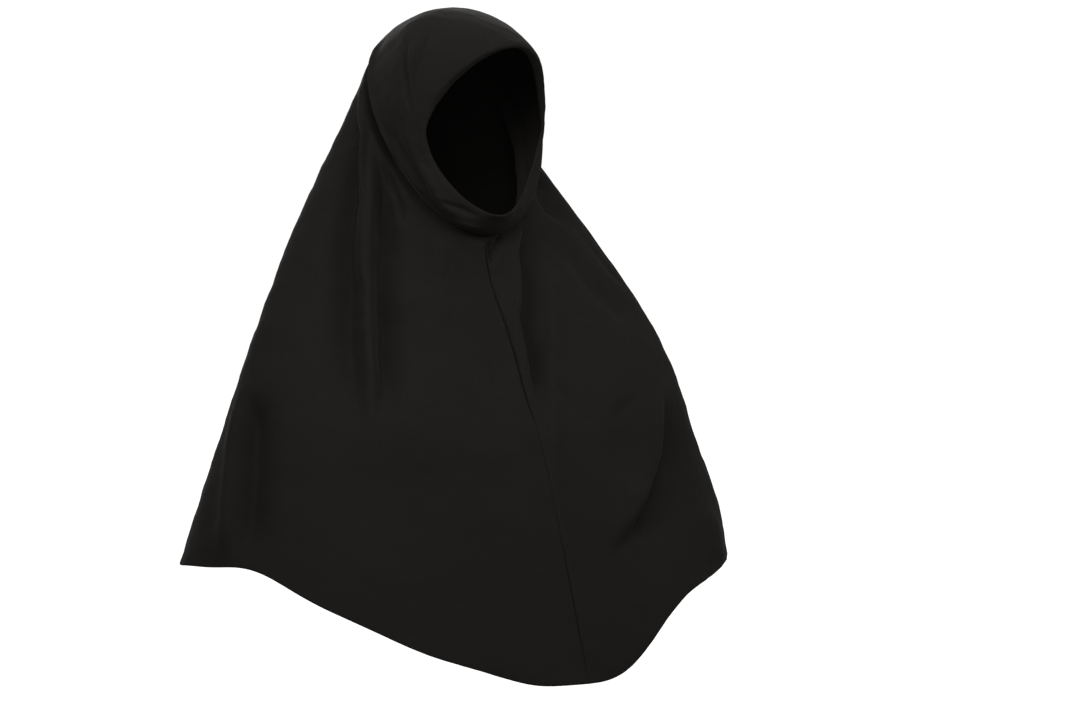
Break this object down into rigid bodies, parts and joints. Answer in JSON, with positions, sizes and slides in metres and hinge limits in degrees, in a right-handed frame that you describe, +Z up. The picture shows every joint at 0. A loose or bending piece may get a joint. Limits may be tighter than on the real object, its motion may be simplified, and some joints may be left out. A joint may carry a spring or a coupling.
{
  "type": "hijab",
  "caption": "Pull-on hijab as worn, with a hood that closes round the face and a long shoulder cape closed by a seam down the front.",
  "frame": {"origin": "The seat of the crown on the wearer's head: the inner face of the cloth at the top of the head's axis.", "axes": "+Z up, -Y the way the wearer's chest faces, +X the wearer's left. The head is turned 16 degrees towards the wearer's left. No tilt."},
  "size_m": [0.6217, 0.3883, 0.705],
  "materials": {
    "jersey": "matte fine knitted jersey, black"
  },
  "bodies": {
    "root": {"hood": "jersey", "face_hem": "jersey", "cape": "jersey", "front_seam": "jersey", "bottom_hem": "jersey"}
  },
  "joints": []
}
